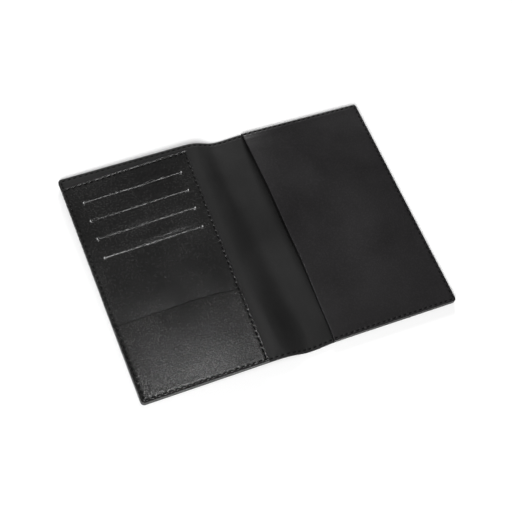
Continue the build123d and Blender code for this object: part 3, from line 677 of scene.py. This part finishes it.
def leather(name, dark, light, worn_and_glint_col, rough, grain, depth, pores, crease, spec=0.5, worn_rough=0.05, big=25.0, painted_sparkle=0.0, gloss_speck=0.0):
    """Dyed leather: a field of small pebbles between fine valleys, pores, long soft creases and rubbed edges; the
    colour also carries painted highlights: bright specks of sparkle and the card slots' glints.
    """
    m, nt, b = new_material(name)
    N, L = nt.nodes.new, nt.links.new
    tc = N("ShaderNodeTexCoord")
    warp = N("ShaderNodeTexNoise"); warp.inputs["Scale"].default_value = grain * 0.35
    warp.inputs["Detail"].default_value = 2
    L(tc.outputs["Object"], warp.inputs["Vector"])
    mixv = N("ShaderNodeVectorMath"); mixv.operation = "MULTIPLY_ADD"
    L(warp.outputs["Color"], mixv.inputs[0])
    mixv.inputs[1].default_value = (0.6 / grain,) * 3
    L(tc.outputs["Object"], mixv.inputs[2])
    vor = N("ShaderNodeTexVoronoi"); vor.feature = "SMOOTH_F1"
    vor.inputs["Scale"].default_value = grain
    vor.inputs["Smoothness"].default_value = 0.35
    L(mixv.outputs[0], vor.inputs["Vector"])
    fine = N("ShaderNodeTexNoise"); fine.inputs["Scale"].default_value = grain * 3.1
    fine.inputs["Detail"].default_value = 4
    L(tc.outputs["Object"], fine.inputs["Vector"])
    large = N("ShaderNodeTexNoise"); large.inputs["Scale"].default_value = big
    large.inputs["Detail"].default_value = 5
    L(tc.outputs["Object"], large.inputs["Vector"])
    long_ = N("ShaderNodeTexNoise"); long_.inputs["Scale"].default_value = 160
    long_.inputs["Detail"].default_value = 6; long_.inputs["Distortion"].default_value = 1.2
    L(tc.outputs["Object"], long_.inputs["Vector"])
    # height: pebbles, fine tooth, long creases
    h1 = N("ShaderNodeMath"); h1.operation = "MULTIPLY"; h1.inputs[1].default_value = -1.0
    L(vor.outputs["Distance"], h1.inputs[0])
    h2 = N("ShaderNodeMath"); h2.operation = "MULTIPLY_ADD"; h2.inputs[1].default_value = pores
    L(fine.outputs["Fac"], h2.inputs[0]); L(h1.outputs[0], h2.inputs[2])
    h3 = N("ShaderNodeMath"); h3.operation = "MULTIPLY_ADD"; h3.inputs[1].default_value = crease
    L(long_.outputs["Fac"], h3.inputs[0]); L(h2.outputs[0], h3.inputs[2])
    bump = N("ShaderNodeBump"); bump.inputs["Strength"].default_value = 1.0
    bump.inputs["Distance"].default_value = depth
    L(h3.outputs[0], bump.inputs["Height"])
    L(bump.outputs[0], b.inputs["Normal"])
    sparkle_noise = N("ShaderNodeTexNoise"); sparkle_noise.inputs["Scale"].default_value = 1150
    sparkle_noise.inputs["Detail"].default_value = 1
    L(tc.outputs["Object"], sparkle_noise.inputs["Vector"])
    # colour: darker in the grain's valleys; rubbed edges are lighter, and the same worn colour paints highlight glints
    # along the card slots
    base = ramp(nt, large.outputs["Fac"], [(0.35, dark), (0.65, light)])
    mul = N("ShaderNodeMix"); mul.data_type = "RGBA"; mul.blend_type = "MULTIPLY"
    mul.inputs[0].default_value = 0.6
    L(base, mul.inputs[6])
    pit = ramp(nt, vor.outputs["Distance"], [(0.25, (1, 1, 1)), (0.75, (0.45, 0.45, 0.45))])
    L(pit, mul.inputs[7])
    # painted highlight: the base is multiplied by bright specks of noise, up to 3.4 times, which paint the grain's
    # sparkle
    painted_sparkle_mix = N("ShaderNodeMix"); painted_sparkle_mix.data_type = "RGBA"; painted_sparkle_mix.blend_type = "MULTIPLY"
    painted_sparkle_mix.inputs[0].default_value = painted_sparkle
    L(mul.outputs[2], painted_sparkle_mix.inputs[6])
    hi = 3.4
    L(ramp(nt, sparkle_noise.outputs["Fac"], [(0.36, (0.35, 0.35, 0.35)), (0.52, (1, 1, 1)), (0.66, (hi, hi, hi))]), painted_sparkle_mix.inputs[7])
    # the wear attribute mixes in the worn colour: real rubbed edges, and painted highlight glints along the card slots
    at = N("ShaderNodeAttribute"); at.attribute_name = "wear_and_painted_glint"
    wn = N("ShaderNodeMath"); wn.operation = "MULTIPLY"
    L(at.outputs["Fac"], wn.inputs[0]); L(long_.outputs["Fac"], wn.inputs[1])
    col = N("ShaderNodeMix"); col.data_type = "RGBA"
    L(wn.outputs[0], col.inputs[0]); L(painted_sparkle_mix.outputs[2], col.inputs[6])
    col.inputs[7].default_value = (*worn_and_glint_col, 1)
    L(col.outputs[2], b.inputs["Base Color"])
    # gloss: polished tops, dull valleys, a little patchiness
    rr = N("ShaderNodeMapRange")
    rr.inputs["From Min"].default_value = 0.3; rr.inputs["From Max"].default_value = 0.7
    rr.inputs["To Min"].default_value = rough - 0.05; rr.inputs["To Max"].default_value = rough + 0.06
    L(large.outputs["Fac"], rr.inputs["Value"])
    r2 = N("ShaderNodeMath"); r2.operation = "MULTIPLY_ADD"; r2.inputs[1].default_value = 0.10
    L(vor.outputs["Distance"], r2.inputs[0]); L(rr.outputs[0], r2.inputs[2])
    r3 = N("ShaderNodeMath"); r3.operation = "MULTIPLY_ADD"; r3.inputs[1].default_value = -worn_rough
    L(at.outputs["Fac"], r3.inputs[0]); L(r2.outputs[0], r3.inputs[2])
    r4 = N("ShaderNodeMath"); r4.operation = "MULTIPLY_ADD"; r4.inputs[1].default_value = -gloss_speck
    L(sparkle_noise.outputs["Fac"], r4.inputs[0]); L(r3.outputs[0], r4.inputs[2])
    L(r4.outputs[0], b.inputs["Roughness"])
    b.inputs["Specular IOR Level"].default_value = spec
    return m


# card and pocket: the light worn colour mostly paints the slots' glints, and the speck amount paints the grain's
# sparkle, strongest on the pocket
card_mat = leather("card_leather_fine_grain", (0.0065, 0.0064, 0.0063), (0.0105, 0.0103, 0.0101), (0.50, 0.50, 0.50),
                   0.155, 1500.0, 0.000030, 0.6, 0.05, spec=0.5, worn_rough=0.0, painted_sparkle=0.52, gloss_speck=0.05)
pocket_mat = leather("lower_pocket_leather_grain", (0.0068, 0.0066, 0.0064), (0.0108, 0.0105, 0.0101), (0.50, 0.50, 0.50),
                     0.150, 1500.0, 0.000030, 0.6, 0.05, spec=0.5, worn_rough=0.0, painted_sparkle=0.72, gloss_speck=0.05)
lining_mat = leather("lining_leather_satin", (0.0035, 0.0034, 0.0034), (0.0065, 0.0063, 0.0063), (0.03, 0.03, 0.03),
                     0.36, 2600.0, 0.000014, 0.4, 0.4, spec=0.36, painted_sparkle=0.15)
sleeve_mat = leather("sleeve_leather_matt", (0.0088, 0.0080, 0.0086), (0.0118, 0.0108, 0.0116), (0.03, 0.029, 0.03),
                     0.28, 2400.0, 0.000008, 0.5, 0.3, spec=0.38, painted_sparkle=0.2)
cover_mat = leather("cover_leather_pebbled", (0.005, 0.005, 0.0052), (0.009, 0.009, 0.0095), (0.02, 0.02, 0.02),
                    0.42, 780.0, 0.00016, 0.3, 0.8, spec=0.45)


def thread_material(name, col, rough, spec):
    m, nt, b = new_material(name)
    N, L = nt.nodes.new, nt.links.new
    tc = N("ShaderNodeTexCoord")
    n = N("ShaderNodeTexNoise"); n.inputs["Scale"].default_value = 6000; n.inputs["Detail"].default_value = 3
    L(tc.outputs["Object"], n.inputs["Vector"])
    c = ramp(nt, n.outputs["Fac"], [(0.3, tuple(v * 0.6 for v in col)), (0.7, tuple(v * 1.5 for v in col))])
    L(c, b.inputs["Base Color"])
    bump = N("ShaderNodeBump"); bump.inputs["Distance"].default_value = 0.00006
    bump.inputs["Strength"].default_value = 0.8
    L(n.outputs["Fac"], bump.inputs["Height"]); L(bump.outputs[0], b.inputs["Normal"])
    b.inputs["Roughness"].default_value = rough
    b.inputs["Specular IOR Level"].default_value = spec
    return m


thread_mat = thread_material("thread_waxed_black", (0.0018, 0.0018, 0.0018), 0.66, 0.07)
# painted highlight: the knots' light grey stands in for the bright glint at each slot's end; the rest of the thread is
# black
knot_glint_mat = thread_material("thread_knot_grey_painted_glint", (0.50, 0.50, 0.50), 0.36, 0.5)

cloth_mat, nt, b = new_material("liner_cloth_weave")
tc = nt.nodes.new("ShaderNodeTexCoord")
wv = nt.nodes.new("ShaderNodeTexWave"); wv.inputs["Scale"].default_value = 900
wv2 = nt.nodes.new("ShaderNodeTexWave"); wv2.inputs["Scale"].default_value = 900; wv2.bands_direction = "Y"
nt.links.new(tc.outputs["Object"], wv.inputs["Vector"]); nt.links.new(tc.outputs["Object"], wv2.inputs["Vector"])
ad = nt.nodes.new("ShaderNodeMath"); ad.operation = "MAXIMUM"
nt.links.new(wv.outputs["Fac"], ad.inputs[0]); nt.links.new(wv2.outputs["Fac"], ad.inputs[1])
nt.links.new(ramp(nt, ad.outputs[0], [(0.2, (0.004, 0.004, 0.004)), (0.9, (0.014, 0.014, 0.014))]), b.inputs["Base Color"])
b.inputs["Roughness"].default_value = 0.8

board_mat, nt, b = new_material("grey_board")
tc = nt.nodes.new("ShaderNodeTexCoord")
nn = nt.nodes.new("ShaderNodeTexNoise"); nn.inputs["Scale"].default_value = 900; nn.inputs["Detail"].default_value = 4
nt.links.new(tc.outputs["Object"], nn.inputs["Vector"])
nt.links.new(ramp(nt, nn.outputs["Fac"], [(0.3, (0.22, 0.20, 0.17)), (0.7, (0.36, 0.33, 0.28))]), b.inputs["Base Color"])
b.inputs["Roughness"].default_value = 0.85

# black edge paint for the cut edges; the same material paints shade along the lower pocket's mouth and darkens the
# sleeve's free edge
edge_paint_and_shade_mat = thread_material("edge_paint_black_and_painted_shade", (0.0022, 0.0022, 0.0022), 0.6, 0.12)


def paint_edges(ob, m, n, sides, shade_rows=0):
    """Black edge paint on the cut edges: the walls are the mesh's last faces, side by side.

    The given number of face rows along the mouth get the black too: painted shade, a dark line standing in for the
    shadow at the pocket's mouth."""
    ob.data.materials.append(edge_paint_and_shade_mat)
    total = len(ob.data.polygons)
    runs = {"foot": (0, n - 1), "right": (n - 1, m - 1), "head": (n + m - 2, n - 1), "left": (2 * n + m - 3, m - 1)}
    start = total - 2 * (m - 1) - 2 * (n - 1)
    for side in sides:
        a, k = runs[side]
        for i in range(start + a, start + a + k):
            ob.data.polygons[i].material_index = 1
    for i in range((m - 1 - shade_rows) * (n - 1), (m - 1) * (n - 1)):
        ob.data.polygons[i].material_index = 1


MATS = {
    cover_left: (cover_mat, "cover_leather"), cover_right: (cover_mat, "cover_leather"),
    lining_left: (lining_mat, "lining_leather"), lining_right: (lining_mat, "lining_leather"),
    card_panel_skin: (card_mat, "card_leather"), lower_pocket_skin: (pocket_mat, "card_leather"),
    sleeve_skin: (sleeve_mat, "sleeve_leather"),
    seam_inside_left: (thread_mat, "thread"), seam_inside_right: (thread_mat, "thread"),
    seam_outside_left: (thread_mat, "thread"), seam_outside_right: (thread_mat, "thread"),
    card_panel_seams: (thread_mat, "thread"), slot_knots: (knot_glint_mat, "thread"),
    board_front: (board_mat, "board"), board_back: (board_mat, "board"),
}
for ob in liners:
    MATS[ob] = (cloth_mat, "liner_cloth")
for ob, (mat, slot_name) in MATS.items():
    ob.data.materials.append(mat)

paint_edges(card_panel_skin, len(ql), len(pl), ("right", "head"))
# painted shade: the black laps onto the pocket's face along the mouth, a dark line standing in for the shadow there
paint_edges(lower_pocket_skin, len(ql2), len(pl2), ("right", "head"), shade_rows=MOUTH_SHADE_ROWS)
# black edge paint on the sleeve's free edge, which also stands in for the shadow in the gap under the lifted edge
# (painted shade)
paint_edges(sleeve_skin, len(yl), len(sl), ("left",))

# ------------------------------------------------------------------ bodies
def on(ob, body, *nodes):
    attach(ob, body)
    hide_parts(*nodes)


for ob, nodes in ((cover_left, ("outer_cover_front", "outer_cover_spine")),
                  (lining_left, ("lining_front", "lining_spine")),
                  (seam_inside_left, ("stitching_inside_front", "stitching_inside_spine")),
                  (seam_outside_left, ("stitching_outside_front", "stitching_outside_spine"))):
    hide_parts(*nodes)
    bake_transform(ob)
for ob, nodes in ((cover_right, ("outer_cover_back", "outer_cover_spine")),
                  (lining_right, ("lining_back", "lining_spine")),
                  (seam_inside_right, ("stitching_inside_back", "stitching_inside_spine")),
                  (seam_outside_right, ("stitching_outside_back", "stitching_outside_spine"))):
    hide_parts(*nodes)
    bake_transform(ob)
on(card_panel_skin, "front_leaf", "card_panel")
on(lower_pocket_skin, "front_leaf", "lower_pocket")
on(card_panel_seams, "front_leaf", "stitching_card_panel")
on(slot_knots, "front_leaf", "slot_end_tacks")
on(board_front, "front_leaf", "stiffener_front")
for k, ob in enumerate(liners):
    on(ob, "front_leaf", f"card_liner_{k + 1}")
on(sleeve_skin, "back_leaf", "passport_sleeve")
on(board_back, "back_leaf", "stiffener_back")

# ------------------------------------------------------------------ floor and light
me = bpy.data.meshes.new("floor")
me.from_pydata([(-3, -3, -0.00006), (3, -3, -0.00006), (3, 3, -0.00006), (-3, 3, -0.00006)], [], [(0, 1, 2, 3)])
floor = bpy.data.objects.new("floor", me)
bpy.context.scene.collection.objects.link(floor)
fm, nt, b = new_material("pale_floor")
b.inputs["Base Color"].default_value = (0.88, 0.88, 0.88, 1)
b.inputs["Roughness"].default_value = 0.9
b.inputs["Specular IOR Level"].default_value = 0.1
me.materials.append(fm)

world = bpy.data.worlds.new("studio")
bpy.context.scene.world = world
world.use_nodes = True
world.node_tree.nodes["Background"].inputs["Color"].default_value = (1, 1, 1, 1)
world.node_tree.nodes["Background"].inputs["Strength"].default_value = 0.16


def softbox(name, at, to, size, power, sy=None):
    ld = bpy.data.lights.new(name, "AREA")
    ld.shape = "RECTANGLE"
    ld.size, ld.size_y = size, sy or size
    ld.energy = power
    ob = bpy.data.objects.new(name, ld)
    ob.location = at
    ob.rotation_euler = (Vector(to) - Vector(at)).to_track_quat("-Z", "Y").to_euler()
    bpy.context.scene.collection.objects.link(ob)
    return ob


softbox("overhead", (0.1215, 0.146, 1.14), (-0.05, -0.06, 0), 0.10, 1.20)
softbox("behind_camera", (-0.95, -1.15, 1.35), (0, 0, 0), 0.9, 52.0)
softbox("back_right", (0.88, 2.31, 0.80), (0, 0, 0), 0.9, 48.0, 0.5)
